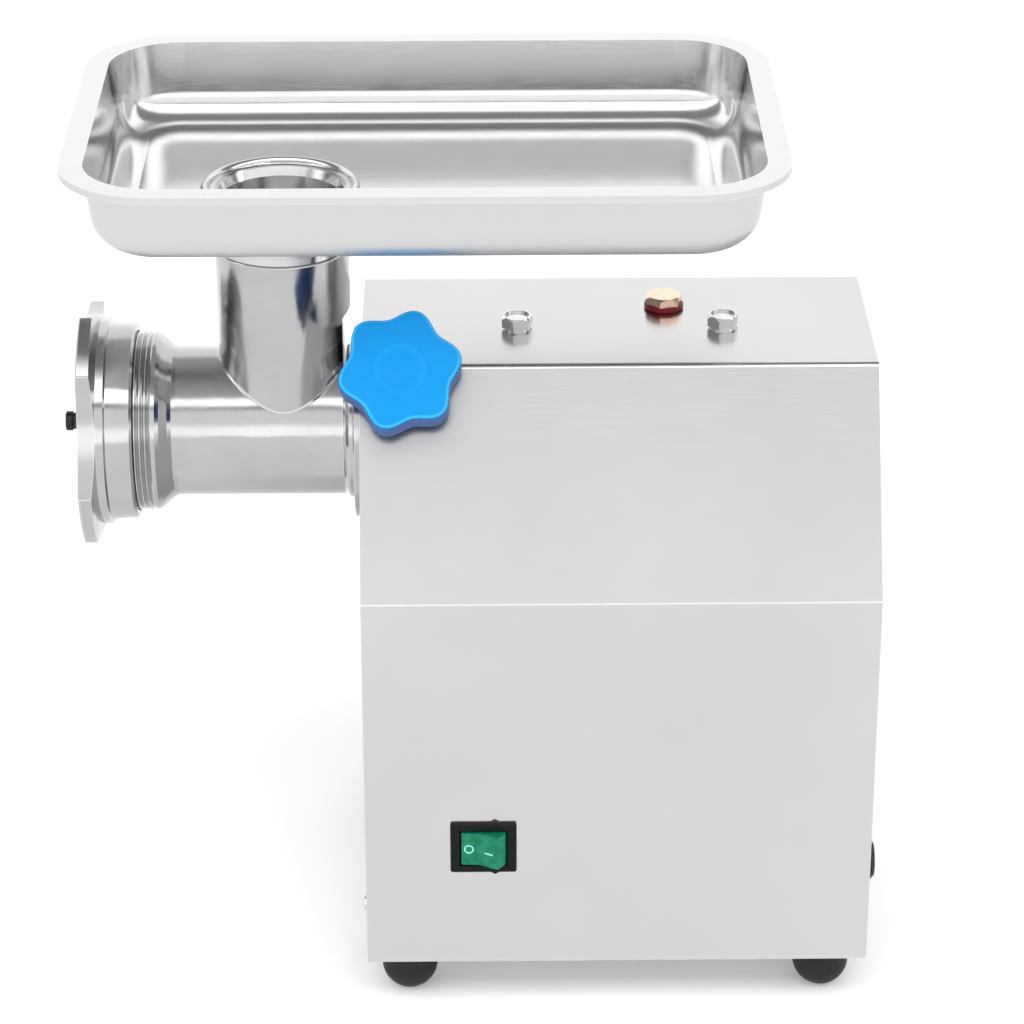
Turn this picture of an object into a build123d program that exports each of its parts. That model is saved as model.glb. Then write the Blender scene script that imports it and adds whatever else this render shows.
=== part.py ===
from build123d import *
import os
from math import acos, cos, pi, radians, sin, sqrt, tan

# Electric meat grinder, size 12. Millimetres, +Z up, outlet towards -X, operator's side towards -Y.
# The origin is on the table, below the centre of the whole machine.

# ---- driving dimensions ---------------------------------------------------------------------------
LEFT = -51.0                # outer face of the left end panel
BODY_LENGTH = 240.0
BODY_HALF = 110.0           # half depth of the lower body
TOP_HALF = 53.4             # half depth of the flat top
BASE_Z = 25.0               # underside of the base plate
BEND_Z = 217.6              # where the sloping panels start
TOP_Z = 313.0
SHEET = 1.2                 # stainless sheet
AXIS_Z = 262.0              # barrel, auger and output shaft
COUNTER_Z = 202.0           # countershaft
MOTOR_Z = 139.0             # motor shaft
PLATE_T = 1.5               # base plate

FOOT_X, FOOT_Y = (20.0, 220.0), 88.0
FOOT_R, FOOT_DOME_Z = 13.5, 12.5     # foot radius, height where the dome starts
END_SCREW_Z = 34.0                   # the screws that hold cover and end panels to the base plate
END_SCREW_Y = (-70.0, 70.0)
REAR_SCREW_X = (40.0, 120.0, 200.0)
BOLT_X, BOLT_Y, BOLT_TURN = (73.4, 170.4), -9.5, (16.0, 14.5)
PLUG_X, PLUG_Y, PLUG_TURN = 143.8, 15.0, 16.5
SWITCH_X, SWITCH_Z = 56.0, 89.1
GROMMET_Y, GROMMET_Z = -82.0, 63.8

KNOB_X, KNOB_ANGLE = 19.4, 37.0      # screw axis: place along X, rise above the horizontal
KNOB_FRONT, KNOB_T = 102.5, 18.0     # front face's distance from the barrel axis, rim thickness
KNOB_R, KNOB_SWING, KNOB_LOBES, KNOB_TURN = 26.2, 2.3, 6, 13.0
DISH_R, DISH_DEPTH = 11.8, 1.6       # hollow in the knob's front face
PAD_GAP = 0.3                        # the brass pad's distance from the spigot when drawn back
NECK_X = -36.7
NECK_TOP = 353.4
BARREL_R, BARREL_BORE = 35.7, 30.5
THREAD_R, THREAD_PITCH = 43.0, 2.5
PLATE_R, PLATE_THICK = 34.9, 10.0
RING_FRONT, RING_BACK = -132.5, -107.5
RING_LIP_T = 5.5
PLATE_FRONT = RING_FRONT + RING_LIP_T + 0.1
LOBES, LOBE_TURN = 4, 30.0           # wrench lobes on the clamping ring's flange
LOBE_TIP, LOBE_ROOT, LOBE_HALF = 61.5, 49.8, 16.5    # two radii, half angle of a lobe's tip
RING_BODY_R = 49.3

TRAY_X, TRAY_L, TRAY_W = 31.9, 327.2, 223.0
TRAY_TOP, TRAY_DEPTH = 418.0, 38.0
TRAY_RIM, TRAY_CORNER, TRAY_SHEET = 10.0, 45.0, 1.0

STAGE1_MODULE, STAGE1_TEETH = 1.5, (20, 64)      # motor pinion, countershaft gear
STAGE2_MODULE, STAGE2_TEETH = 2.0, (20, 40)      # countershaft pinion, output gear
STAGE1_X, STAGE2_X = (162.0, 176.0), (138.0, 158.0)
CASE_FRONT, CASE_OPEN, CASE_WALL = 128.0, 183.0, 6.0
GASKET_T = 1.0
CASE_CIRCLES = ((AXIS_Z, 49.4), (COUNTER_Z, 57.0), (MOTOR_Z, 30.0))
MOTOR_R, MOTOR_X = 62.0, (34.0, 104.0)           # stator radius, stator stack
HUB_BORE, SPIGOT_END = 28.0, 33.0                # the socket that the head's spigot slides into
BEARINGS_X = ((48.0, 63.0), (116.0, 131.0))      # the two bearings of the output shaft
RUN = 0.05                                       # radial clearance of a running fit
GAP = 0.4                                        # clearance between pieces that move apart

LOW, MID = Align.MIN, Align.CENTER
NODES = {}


def node(name, *solids):
    """Keep one named sub-part, made of one or more solids."""
    NODES[name] = solids[0] if len(solids) == 1 else Compound(children=list(solids))


def at(x):
    """A place along X, measured from the left wall."""
    return LEFT + x


def rod(x0, x1, radius, y=0.0, z=AXIS_Z):
    """A round bar along X."""
    plane = Plane((at(x0), y, z), x_dir=(0, 0, 1), z_dir=(1, 0, 0))
    return plane * Cylinder(radius, x1 - x0, align=(MID, MID, LOW))


def ring(x0, x1, outer, inner, y=0.0, z=AXIS_Z):
    """A tube along X."""
    return rod(x0, x1, outer, y, z) - rod(x0 - 1, x1 + 1, inner, y, z)


def turned(points, z=AXIS_Z):
    """A piece turned about an axis along X, from its (x, radius) outline."""
    outline = Polyline(*[(at(x), 0, z + r) for x, r in points], close=True)
    return revolve(make_face(outline), Axis((0, 0, z), (1, 0, 0)), 360)


def post(x, y, z0, z1, radius):
    """A round bar along Z."""
    return Pos(at(x), y, z0) * Cylinder(radius, z1 - z0, align=(MID, MID, LOW))


def block(x0, x1, y0, y1, z0, z1):
    """A box between two corners."""
    return Pos(at(x0), y0, z0) * Box(x1 - x0, y1 - y0, z1 - z0, align=(LOW, LOW, LOW))


def hexagon(x, y, z0, z1, across, turn=0.0):
    """A six-sided bar along Z, by its width across flats."""
    shape = RegularPolygon(across / sqrt(3), 6, rotation=turn)
    return Pos(at(x), y, z0) * extrude(shape, z1 - z0)


def ring_of(count, radius, start=0.0):
    """Points (y, z) evenly spaced on a circle about the barrel axis."""
    for i in range(count):
        a = radians(start + 360.0 * i / count)
        yield -radius * sin(a), radius * cos(a)


# ---- body ------------------------------------------------------------------------------------------
def body_outline(inset, bottom, bend):
    """Cross-section of the body, moved inwards by inset, with rounded bends."""
    rise, run = TOP_Z - BEND_Z, BODY_HALF - TOP_HALF
    slope = sqrt(rise ** 2 + run ** 2)
    ny, nz = rise / slope, run / slope
    level = ny * BODY_HALF + nz * BEND_Z - inset
    half, top = BODY_HALF - inset, TOP_Z - inset
    shoulder = (level - ny * half) / nz
    top_half = (level - nz * top) / ny
    right = [(half, bottom), (half, shoulder), (top_half, top)]
    left = [(-y, z) for y, z in reversed(right)]
    face = Plane.YZ * make_face(Polyline(*right, *left, close=True))
    bends = [v for v in face.vertices() if v.Z > bottom + 1]
    return fillet(bends, bend)


def body_slice(inset, bottom, bend, x0, x1):
    return Pos(at(x0), 0, 0) * extrude(body_outline(inset, bottom, bend), x1 - x0)


def lock_axis(s):
    """The point on the lock screw's axis at distance s from the barrel axis."""
    a = radians(KNOB_ANGLE)
    return Vector(at(KNOB_X), -s * cos(a), AXIS_Z + s * sin(a))


def lock_plane(s):
    a = radians(KNOB_ANGLE)
    return Plane(lock_axis(s), x_dir=(1, 0, 0), z_dir=(0, -cos(a), sin(a)))


def lock_rod(s0, s1, radius):
    """A round bar on the lock screw's axis."""
    return lock_plane(s0) * Cylinder(radius, s1 - s0, align=(MID, MID, LOW))


def make_body():
    bottom = BASE_Z + PLATE_T + 0.1
    inner = SHEET
    cover = body_slice(0, bottom, 3.0, 0, BODY_LENGTH)
    cover -= body_slice(inner, bottom - 5, 3.0 - SHEET, -1, BODY_LENGTH + 1)
    cover -= lock_rod(60, 90, 8.0)
    for x in BOLT_X:
        cover -= post(x, BOLT_Y, TOP_Z - 5, TOP_Z + 5, 4.5)
    cover -= post(PLUG_X, PLUG_Y, TOP_Z - 5, TOP_Z + 5, 8.2)
    cover -= block(SWITCH_X - 13.9, SWITCH_X + 13.9, -115, -105, SWITCH_Z - 11.4, SWITCH_Z + 11.4)
    for x, z in rear_screw_places():
        cover -= Pos(at(x), BODY_HALF, z) * Rot(90, 0, 0) * Cylinder(2.1, 8)
    node("cover_shell", cover)

    left = end_panel(0.0, SHEET, 12.0)
    left -= rod(-2, 4, 35.4)
    for y, z in ring_of(4, 41.5, 45):
        left -= rod(-2, 4, 2.6, y, AXIS_Z + z)
    node("left_end_panel", left)

    right = end_panel(BODY_LENGTH, -SHEET, -12.0)
    for row in range(9):
        z = 95.0 + 9.0 * row
        for y in (-38.0, 38.0):
            slot = Box(10, 52, 3.6) + Pos(0, 26, 0) * Rot(0, 90, 0) * Cylinder(1.8, 10)
            slot += Pos(0, -26, 0) * Rot(0, 90, 0) * Cylinder(1.8, 10)
            right -= Pos(at(BODY_LENGTH), y, z) * slot
    right -= rod(BODY_LENGTH - 5, BODY_LENGTH + 5, 7.7, GROMMET_Y, GROMMET_Z)
    node("right_end_panel", right)

    plate = block(0.1, BODY_LENGTH - 0.1, -BODY_HALF + 0.1, BODY_HALF - 0.1, BASE_Z, BASE_Z + PLATE_T)
    e = 2.7
    wall = block(e, BODY_LENGTH - e, -BODY_HALF + e, BODY_HALF - e, BASE_Z, BASE_Z + 16)
    e += PLATE_T
    wall -= block(e, BODY_LENGTH - e, -BODY_HALF + e, BODY_HALF - e, BASE_Z - 1, BASE_Z + 20)
    plate += wall
    for x, y in foot_places():
        plate -= post(x, y, BASE_Z - 2, BASE_Z + 5, 2.7)
    for i in range(9):
        y = -40.0 + 10.0 * i
        plate -= block(118, 178, y - 2, y + 2, BASE_Z - 2, BASE_Z + 5)
    for x, z in rear_screw_places():
        plate -= Pos(at(x), BODY_HALF - 3, z) * Rot(90, 0, 0) * Cylinder(2.1, 8)
    for x in (4.0, BODY_LENGTH - 4.0):
        for y in END_SCREW_Y:
            plate -= rod(x - 4, x + 4, 2.1, y, END_SCREW_Z)
    node("base_plate", plate)


def end_panel(x, skin, flange):
    """A flat end with a flange folded inwards all round but the bottom."""
    bottom = BASE_Z + PLATE_T + 0.1
    inset = SHEET + 0.05
    x0, x1 = sorted((x, x + flange))
    panel = body_slice(inset, bottom, 2.0, x0, x1)
    h0, h1 = sorted((x + skin, x + flange + (1 if flange > 0 else -1)))
    panel -= body_slice(inset + SHEET, bottom - 5, 1.0, h0, h1)
    for y in END_SCREW_Y:
        panel -= rod(x - 4, x + 4, 2.1, y, END_SCREW_Z)
    return panel


def rear_screw_places():
    return [(x, END_SCREW_Z) for x in REAR_SCREW_X]


def foot_places():
    return [(x, y) for x in FOOT_X for y in (-FOOT_Y, FOOT_Y)]


def pan_screw(length):
    """A pan-head screw, its head on +Z and its shank hanging below."""
    head = extrude(Circle(4.0), 2.6)
    head = fillet(head.edges().group_by(Axis.Z)[-1], 1.2)
    head -= Pos(0, 0, 2.6) * Box(4.6, 0.9, 2.2)
    head -= Pos(0, 0, 2.6) * Box(0.9, 4.6, 2.2)
    return head + Pos(0, 0, -length) * Cylinder(1.95, length, align=(MID, MID, LOW))


def make_fasteners():
    screws = []
    for x, z in rear_screw_places():
        screws.append(Pos(at(x), BODY_HALF, z) * Rot(-90, 0, 0) * pan_screw(8))
    for y in END_SCREW_Y:
        screws.append(Pos(at(0), y, END_SCREW_Z) * Rot(0, -90, 0) * pan_screw(8))
        screws.append(Pos(at(BODY_LENGTH), y, END_SCREW_Z) * Rot(0, 90, 0) * pan_screw(8))
    node("panel_screws", *screws)

    bolts, washers = [], []
    for x, turn in zip(BOLT_X, BOLT_TURN):
        head = hexagon(x, BOLT_Y, TOP_Z + 1.0, TOP_Z + 6.6, 13.0, turn)
        crown = Pos(at(x), BOLT_Y, TOP_Z + 2.6) * Cone(8.92, 6.45, 4.0, align=(MID, MID, LOW))
        head = head & (crown + post(x, BOLT_Y, TOP_Z + 1, TOP_Z + 2.6, 8.92))
        head -= post(x, BOLT_Y, TOP_Z + 5.4, TOP_Z + 8, 5.8)
        bolts.append(head + post(x, BOLT_Y, TOP_Z - 22, TOP_Z + 1.0, 3.95))
        washers.append(post(x, BOLT_Y, TOP_Z, TOP_Z + 1.0, 6.4) - post(x, BOLT_Y, TOP_Z - 1, TOP_Z + 2, 4.1))
    node("cover_bolts", *bolts)
    node("cover_bolt_washers", *washers)

    seal = post(PLUG_X, PLUG_Y, TOP_Z, TOP_Z + 2.6, 9.4) - post(PLUG_X, PLUG_Y, TOP_Z - 1, TOP_Z + 4, 7.1)
    seal = fillet(seal.edges().filter_by(GeomType.CIRCLE).sort_by(Edge.length)[-2:], 0.9)
    node("oil_plug_seal", seal)
    plug = hexagon(PLUG_X, PLUG_Y, TOP_Z + 2.6, TOP_Z + 6.7, 15.6, PLUG_TURN)
    crown = Pos(at(PLUG_X), PLUG_Y, TOP_Z + 5.2) * Cone(9.2, 7.6, 1.5, align=(MID, MID, LOW))
    plug = plug & (crown + post(PLUG_X, PLUG_Y, TOP_Z + 2.6, TOP_Z + 5.2, 9.2))
    plug += post(PLUG_X, PLUG_Y, TOP_Z - 9, TOP_Z + 2.6, 7.0)
    node("oil_plug", plug)


def make_feet():
    """Four domed rubber feet, each with its moulded-in stud and a nut above the base plate."""
    feet, studs, nuts = [], [], []
    blind = 9.0
    dome = Pos(0, 0, FOOT_DOME_Z) * Sphere(FOOT_R) + Pos(0, 0, FOOT_DOME_Z) * Cylinder(
        FOOT_R, BASE_Z - FOOT_DOME_Z, align=(MID, MID, LOW))
    foot = dome & Box(40, 40, BASE_Z, align=(MID, MID, LOW))
    foot = fillet(foot.edges().group_by(Axis.Z)[-1], 1.0)
    foot -= Pos(0, 0, blind) * Cylinder(2.5, BASE_Z, align=(MID, MID, LOW))
    for x, y in foot_places():
        feet.append(Pos(at(x), y, 0) * foot)
        studs.append(post(x, y, blind, BASE_Z + PLATE_T + 6, 2.5))
        nut = hexagon(x, y, BASE_Z + PLATE_T, BASE_Z + PLATE_T + 4, 8.0)
        nuts.append(nut - post(x, y, BASE_Z, BASE_Z + 9, 2.5))
    node("rubber_feet", *feet)
    node("foot_studs", *studs)
    node("foot_nuts", *nuts)


# ---- drive -----------------------------------------------------------------------------------------
def involute_angle(cosine):
    a = acos(min(1.0, cosine))
    return tan(a) - a


def gear(teeth, module, x0, x1, z, start=0.0, bore=0.0):
    """A spur gear on an axis along X; tooth 0 points to start degrees from +Z."""
    pitch_r = module * teeth / 2
    base_r = pitch_r * cos(radians(20))
    tip_r, root_r = pitch_r + module, pitch_r - 1.25 * module
    at_pitch = pi / (2 * teeth) - 0.11 * module / (2 * pitch_r)
    at_base = at_pitch + involute_angle(base_r / pitch_r)
    at_tip = at_base - involute_angle(base_r / tip_r)
    flank = [(root_r, at_base), (max(base_r, root_r), at_base), (pitch_r, at_pitch), (tip_r, at_tip)]
    if root_r >= base_r:
        flank = [(root_r, at_base - involute_angle(base_r / root_r)), (pitch_r, at_pitch), (tip_r, at_tip)]
    points = []
    for i in range(teeth):
        a = radians(start) + 2 * pi * i / teeth
        points += [(r * cos(a - h), r * sin(a - h)) for r, h in flank]
        points += [(r * cos(a + h), r * sin(a + h)) for r, h in reversed(flank)]
    plane = Plane((at(x0), 0, z), x_dir=(0, 0, 1), z_dir=(1, 0, 0))
    solid = extrude(plane * make_face(Polyline(*points, close=True)), x1 - x0, dir=(1, 0, 0))
    if bore:
        solid -= rod(x0 - 1, x1 + 1, bore, 0, z)
    return solid


def bearing(x0, x1, outer, inner, z):
    """A sealed ball bearing: two rings with the seal set back between them."""
    wall = outer - inner
    a, b = inner + 0.28 * wall, outer - 0.28 * wall
    edge = 0.5
    points = [(x0, inner), (x0, a), (x0 + edge, a), (x0 + edge, b), (x0, b), (x0, outer),
              (x1, outer), (x1, b), (x1 - edge, b), (x1 - edge, a), (x1, a), (x1, inner)]
    return turned(points, z)


def case_slice(grow, x0, x1):
    """The gear case's outline, a belt round three circles, as a slab."""
    plane = Plane((at(x0), 0, 0), x_dir=(0, 1, 0), z_dir=(1, 0, 0))
    circles = Sketch() + [Pos(0, z) * Circle(r + grow) for z, r in CASE_CIRCLES]
    hull = make_hull(circles.edges())
    return extrude(plane * hull, x1 - x0, dir=(1, 0, 0))


def case_screw_places():
    places = []
    for side in (-1, 1):
        places += [(side * 42.0, AXIS_Z + 36.0), (side * 55.0, AXIS_Z - 14.0)]
        places += [(side * 59.5, COUNTER_Z - 12.0), (side * 35.0, MOTOR_Z - 6.0)]
    return places


def make_gearbox():
    case = case_slice(0, CASE_FRONT, CASE_OPEN)
    for y, z in case_screw_places():
        case += rod(CASE_FRONT + 25, CASE_OPEN, 6.0, y, z)
    case -= case_slice(-5.4, CASE_FRONT + CASE_WALL, CASE_OPEN + 1)
    for y, z in case_screw_places():
        lug = rod(CASE_FRONT + 25, CASE_OPEN, 6.0, y, z)
        case += lug - case_slice(-3.5, CASE_FRONT + 20, CASE_OPEN + 1)
        case -= rod(CASE_OPEN - 14, CASE_OPEN + 1, 2.5, y, z)
    tube = rod(3.0, CASE_FRONT + 4, 40.0)
    tube += rod(SHEET + 0.3, 9.0, 48.0)
    case += tube
    case += lock_rod(30, 62, 13.0)
    case += post(BOLT_X[0], BOLT_Y, AXIS_Z, TOP_Z - SHEET - 0.05, 11.0)
    case += post(BOLT_X[1], BOLT_Y, AXIS_Z + 40, TOP_Z - SHEET - 0.05, 11.0)
    case += post(PLUG_X, PLUG_Y, AXIS_Z + 40, TOP_Z - SHEET - 0.05, 12.0)
    case -= case_slice(-5.4, CASE_FRONT + CASE_WALL, CASE_OPEN + 1) & rod(CASE_FRONT, CASE_OPEN + 1, 44.0)
    case -= rod(0, 44, 35.0)
    case -= rod(40, CASE_FRONT + CASE_WALL + 1, 26.0)
    case -= rod(CASE_FRONT - 1, CASE_FRONT + CASE_WALL + 1, 14.0, 0, COUNTER_Z)
    case -= rod(CASE_FRONT - 1, CASE_FRONT + CASE_WALL + 1, 17.5, 0, MOTOR_Z)
    case -= lock_rod(20, 70, 5.0 + RUN)
    case -= post(BOLT_X[0], BOLT_Y, TOP_Z - 24, TOP_Z, 4.0)
    case -= post(BOLT_X[1], BOLT_Y, TOP_Z - 24, TOP_Z, 4.0)
    case -= post(PLUG_X, PLUG_Y, AXIS_Z + 30, TOP_Z, 7.05)
    for y, z in ring_of(4, 41.5, 45):
        case -= rod(0, 10, 2.5, y, AXIS_Z + z)
    node("gearbox_housing", case)

    gasket = case_slice(0, CASE_OPEN, CASE_OPEN + GASKET_T)
    gasket -= case_slice(-5.4, CASE_OPEN - 1, CASE_OPEN + GASKET_T + 1)
    cover = case_slice(0, CASE_OPEN + GASKET_T, CASE_OPEN + GASKET_T + 6)
    cover += rod(CASE_OPEN + 3, CASE_OPEN + 14, 20.0, 0, COUNTER_Z)
    cover += rod(CASE_OPEN + 3, CASE_OPEN + 14, 20.0, 0, MOTOR_Z)
    for y, z in case_screw_places():
        lug = rod(CASE_OPEN + GASKET_T, CASE_OPEN + GASKET_T + 6, 6.0, y, z)
        gasket += rod(CASE_OPEN, CASE_OPEN + GASKET_T, 6.0, y, z)
        cover += lug
    for y, z in case_screw_places():
        cover -= rod(CASE_OPEN, CASE_OPEN + 9, 2.6, y, z)
        gasket -= rod(CASE_OPEN - 1, CASE_OPEN + 9, 2.6, y, z)
    for z in (COUNTER_Z, MOTOR_Z):
        cover -= rod(CASE_OPEN, CASE_OPEN + 11, 14.0, 0, z)
    node("gearbox_gasket", gasket)
    node("gearbox_cover", cover)
    screws = []
    for y, z in case_screw_places():
        x = CASE_OPEN + GASKET_T + 6
        socket = Pos(at(x), y, z) * Rot(0, 90, 0) * extrude(RegularPolygon(2.0, 6), 5)
        head = rod(x, x + 4, 4.2, y, z) - Pos(1.6, 0, 0) * socket
        screws.append(head + rod(x - 18, x, 2.45, y, z))
    node("gearbox_cover_screws", *screws)

    node("output_bearings", *[bearing(a, b, 26.0, 12.5 + RUN, AXIS_Z) for a, b in BEARINGS_X])
    node("countershaft_bearings", bearing(CASE_FRONT, CASE_FRONT + 6, 14.0, 6.0 + RUN, COUNTER_Z),
         bearing(CASE_OPEN + 3, CASE_OPEN + 11, 14.0, 6.0 + RUN, COUNTER_Z))
    node("oil_seal", ring(40.0, 46.0, 26.0, 17.5))

    hub = turned([(-7.7, HUB_BORE), (-7.7, 35.8), (-6.2, 37.3), (-4.0, 37.3), (-4.0, 46.2),
                  (-3.5, 46.7), (0, 46.7), (0, 35.0), (38.0, 35.0), (38.0, HUB_BORE)])
    hub -= lock_rod(20, 60, 5.0 + RUN)
    screws = []
    for y, z in ring_of(4, 41.5, 45):
        hub -= rod(-6, 2, 2.6, y, AXIS_Z + z)
        sink = turned([(-4.01, 0), (-4.01, 4.8), (-1.4, 2.6), (-1.4, 0)])
        hub -= Pos(0, y, z) * sink
        head = turned([(-4.0, 0), (-4.0, 4.7), (-1.5, 2.45), (8.0, 2.45), (8.0, 0)])
        slot = block(-5, -3.0, -0.6, 0.6, AXIS_Z - 4.2, AXIS_Z + 4.2)
        slot += block(-5, -3.0, -4.2, 4.2, AXIS_Z - 0.6, AXIS_Z + 0.6)
        screws.append(Pos(0, y, z) * (head - slot))
    node("hub_flange", hub)
    node("hub_flange_screws", *screws)


def make_rotating():
    """Everything that turns inside the body: rotor, countershaft and output shaft."""
    shaft = rod(14.0, CASE_OPEN + 10.5, 7.5, 0, MOTOR_Z)
    shaft = shaft & (rod(14, 150, 7.5, 0, MOTOR_Z) + rod(149, CASE_OPEN + 10.5, 6.0, 0, MOTOR_Z))
    shaft += gear(STAGE1_TEETH[0], STAGE1_MODULE, *STAGE1_X, MOTOR_Z)
    node("motor_shaft", shaft)
    core = ring(MOTOR_X[0], MOTOR_X[1], 33.0, 7.5, 0, MOTOR_Z)
    for x in (MOTOR_X[0] - 5, MOTOR_X[1]):
        core += ring(x, x + 5, 31.0, 20.0, 0, MOTOR_Z)
    node("rotor_core", core)

    fan = ring(17.0, 27.0, 12.0, 7.5, 0, MOTOR_Z) + ring(25.0, 27.0, 44.0, 11.0, 0, MOTOR_Z)
    for i in range(9):
        blade = block(17.0, 26.0, -1.0, 1.0, MOTOR_Z + 11, MOTOR_Z + 44)
        fan += blade.rotate(Axis((0, 0, MOTOR_Z), (1, 0, 0)), 40.0 * i)
    node("cooling_fan", fan)

    counter = rod(CASE_FRONT, CASE_OPEN + 10.5, 6.0, 0, COUNTER_Z)
    counter += rod(CASE_FRONT + 7, CASE_OPEN + 2, 9.0, 0, COUNTER_Z)
    counter += gear(STAGE2_TEETH[0], STAGE2_MODULE, *STAGE2_X, COUNTER_Z)
    node("countershaft", counter)
    wheel = gear(STAGE1_TEETH[1], STAGE1_MODULE, *STAGE1_X, COUNTER_Z, 180.0 / STAGE1_TEETH[1], 9.0)
    for x in (STAGE1_X[0] - 1, STAGE1_X[1] - 4):
        wheel -= ring(x, x + 5, 41.0, 18.0, 0, COUNTER_Z)
    node("countershaft_gear", wheel)

    clip = STAGE2_X[1]
    out = turned([(12.0, 0), (12.0, 16.0), (13.0, 17.0), (44.0, 17.0), (44.0, 12.5), (clip, 12.5),
                  (clip, 11.5), (clip + 1.5, 11.5), (clip + 1.5, 12.5), (clip + 3.2, 12.5), (clip + 3.2, 0)])
    out -= block(10, 32, -7, 7, AXIS_Z - 7, AXIS_Z + 7)
    node("output_shaft", out)
    wheel = gear(STAGE2_TEETH[1], STAGE2_MODULE, *STAGE2_X, AXIS_Z, 180.0 / STAGE2_TEETH[1], 12.5)
    for x in (STAGE2_X[0] - 1, STAGE2_X[1] - 5):
        wheel -= ring(x, x + 6, 33.0, 19.0)
    node("output_gear", wheel)
    retainer = ring(clip, clip + 1.5, 15.0, 11.5)
    retainer -= block(clip - 1, clip + 3, -9, 9, AXIS_Z, AXIS_Z + 20)
    node("output_gear_clip", retainer)


def make_motor():
    x0, x1 = MOTOR_X
    stator = ring(x0, x1, MOTOR_R, 34.0, 0, MOTOR_Z)
    for i in range(24):
        slot = block(x0 - 1, x1 + 1, -2.2, 2.2, MOTOR_Z + 36.5, MOTOR_Z + 50)
        stator -= slot.rotate(Axis((0, 0, MOTOR_Z), (1, 0, 0)), 15.0 * i)
    windings = []
    for i in range(24):
        bar = block(x0, x1, -2.0, 2.0, MOTOR_Z + 37, MOTOR_Z + 49.8)
        windings.append(bar.rotate(Axis((0, 0, MOTOR_Z), (1, 0, 0)), 15.0 * i))
    coil = ring(x0 - 6, x0, 50.0, 36.8, 0, MOTOR_Z) + ring(x1, x1 + 10, 50.0, 36.8, 0, MOTOR_Z)
    for bar in windings:
        coil += bar
    for i in range(4):
        hole = rod(x0 - 1, x1 + 1, 2.6, 0, MOTOR_Z + 56)
        stator -= hole.rotate(Axis((0, 0, MOTOR_Z), (1, 0, 0)), 45.0 + 90.0 * i)
    node("motor_stator", stator)
    node("motor_windings", coil)

    front = turned([(x1, 52.0), (x1, 62.0), (x1 + 12, 62.0), (x1 + 17, 55.0), (x1 + 17, 17.5),
                    (CASE_FRONT + CASE_WALL, 17.5), (CASE_FRONT + CASE_WALL, 16.0),
                    (x1 + 22, 16.0), (x1 + 22, 14.0), (x1 + 14, 14.0), (x1 + 14, 52.0)], MOTOR_Z)
    rear = turned([(x0, 52.0), (x0, 62.0), (x0 - 10, 62.0), (x0 - 22, 56.0), (x0 - 26, 50.0),
                   (x0 - 26, 8.5), (x0 - 24, 8.5), (x0 - 24, 46.0), (x0 - 10, 52.0)], MOTOR_Z)
    for i in range(4):
        hole = rod(x0 - 7, x1 + 12.5, 2.6, 0, MOTOR_Z + 56) + rod(x1 + 12.5, x1 + 18, 5.1, 0, MOTOR_Z + 56)
        hole = hole.rotate(Axis((0, 0, MOTOR_Z), (1, 0, 0)), 45.0 + 90.0 * i)
        front -= hole
        rear -= hole
    node("motor_front_bell", front)
    for i in range(8):
        vent = rod(x0 - 28, x0 - 20, 7.0, 0, MOTOR_Z + 30)
        rear -= vent.rotate(Axis((0, 0, MOTOR_Z), (1, 0, 0)), 45.0 * i)
    node("motor_rear_bell", rear)
    node("motor_bearings", bearing(x1 + 14, x1 + 22, 14.0, 7.5 + RUN, MOTOR_Z),
         bearing(CASE_OPEN + 3, CASE_OPEN + 11, 14.0, 6.0 + RUN, MOTOR_Z))
    bolts = []
    for i in range(4):
        bolt = rod(x0 - 6, x1 + 12.5, 2.5, 0, MOTOR_Z + 56) + rod(x1 + 12.5, x1 + 16, 5.0, 0, MOTOR_Z + 56)
        bolts.append(bolt.rotate(Axis((0, 0, MOTOR_Z), (1, 0, 0)), 45.0 + 90.0 * i))
    node("motor_through_bolts", *bolts)

    floor = BASE_Z + PLATE_T
    mount = block(x0 + 8, x1 - 8, -58, 58, floor, floor + 3)
    for x in (x0 + 10, x1 - 16):
        mount += block(x, x + 6, -50, 50, floor, MOTOR_Z - 28)
    mount -= rod(x0 - 1, x1 + 1, MOTOR_R, 0, MOTOR_Z)
    mount -= block(x0 + 20, x1 - 20, -60, 60, floor + 3, MOTOR_Z)
    node("motor_mount", mount)


def make_electrics():
    floor = BASE_Z + PLATE_T
    y, z = 84.0, 60.0
    can = rod(112, 184, 19.0, y, z) + rod(184, 186, 17.0, y, z)
    can += block(186, 192, y - 7, y - 5.8, z - 3, z + 3) + block(186, 192, y + 5.8, y + 7, z - 3, z + 3)
    node("start_capacitor", can)
    clip = ring(140, 156, 20.2, 19.0, y, z)
    clip += block(140, 156, y - 14, y + 14, floor, floor + 1.2)
    clip += block(140, 156, y - 3, y + 3, floor, z - 19.2) - rod(130, 160, 19.0, y, z)
    node("capacitor_clip", clip)
    blockbody = block(200, 226, -70, -26, floor, floor + 16)
    for i in range(4):
        y0 = -64.5 + 11.0 * i
        blockbody -= post(207, y0, floor + 9, floor + 20, 3.2) + post(219, y0, floor + 9, floor + 20, 3.2)
    node("terminal_block", blockbody)
    grommet = turned([(BODY_LENGTH, 4.4), (BODY_LENGTH, 9.6), (BODY_LENGTH + 3.0, 9.6),
                      (BODY_LENGTH + 4.6, 8.0), (BODY_LENGTH + 4.6, 4.4)], GROMMET_Z)
    grommet += ring(BODY_LENGTH - SHEET, BODY_LENGTH, 7.6, 4.4, 0, GROMMET_Z)
    grommet += turned([(BODY_LENGTH - SHEET - 4, 4.4), (BODY_LENGTH - SHEET - 4, 8.2),
                       (BODY_LENGTH - SHEET, 9.2), (BODY_LENGTH - SHEET, 4.4)], GROMMET_Z)
    node("cord_grommet", Pos(0, GROMMET_Y, 0) * grommet)


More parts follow.
